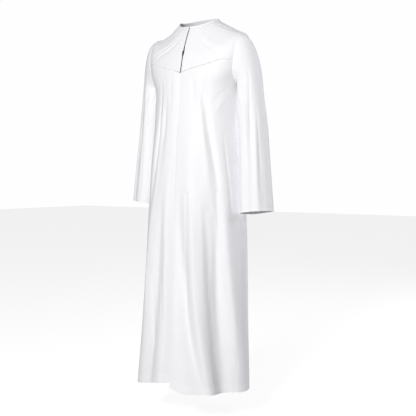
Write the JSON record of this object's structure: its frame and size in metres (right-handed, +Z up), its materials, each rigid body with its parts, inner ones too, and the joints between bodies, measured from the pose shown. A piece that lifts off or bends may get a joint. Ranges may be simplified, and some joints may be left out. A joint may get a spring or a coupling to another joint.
{
  "type": "thobe robe",
  "caption": "Long collarless robe worn hollow, with a pointed front yoke, a zipped neck slit, a lapped front and wide straight sleeves.",
  "frame": {"origin": "between the shoulders, at the height where the shoulders carry the cloth", "axes": "+Z up along the worn robe, -Y out of its front, +X toward the wearer's left"},
  "size_m": [0.6396, 0.3438, 1.3842],
  "materials": {
    "cloth": "white plain weave with a soft sheen",
    "zip_tape": "white woven tape",
    "zip_metal": "dark plated, satin"
  },
  "bodies": {
    "robe": {"front_left": "cloth", "front_right": "cloth", "yoke_front_left": "cloth", "yoke_front_right": "cloth", "back": "cloth", "sleeve_left": "cloth", "sleeve_right": "cloth", "neck_binding": "cloth", "zip_tape_left": "zip_tape", "zip_tape_right": "zip_tape", "zip_slider": "zip_metal"},
    "zip_pull": {"zip_pull_tab": "zip_metal"}
  },
  "joints": [
    {"name": "zip_pull_swing", "type": "hinge", "parent": "robe", "child": "zip_pull", "pos_m": [0, -0.10497, -0.09614], "axis": [-1, 0, 0], "range_deg": [0, 150]}
  ]
}
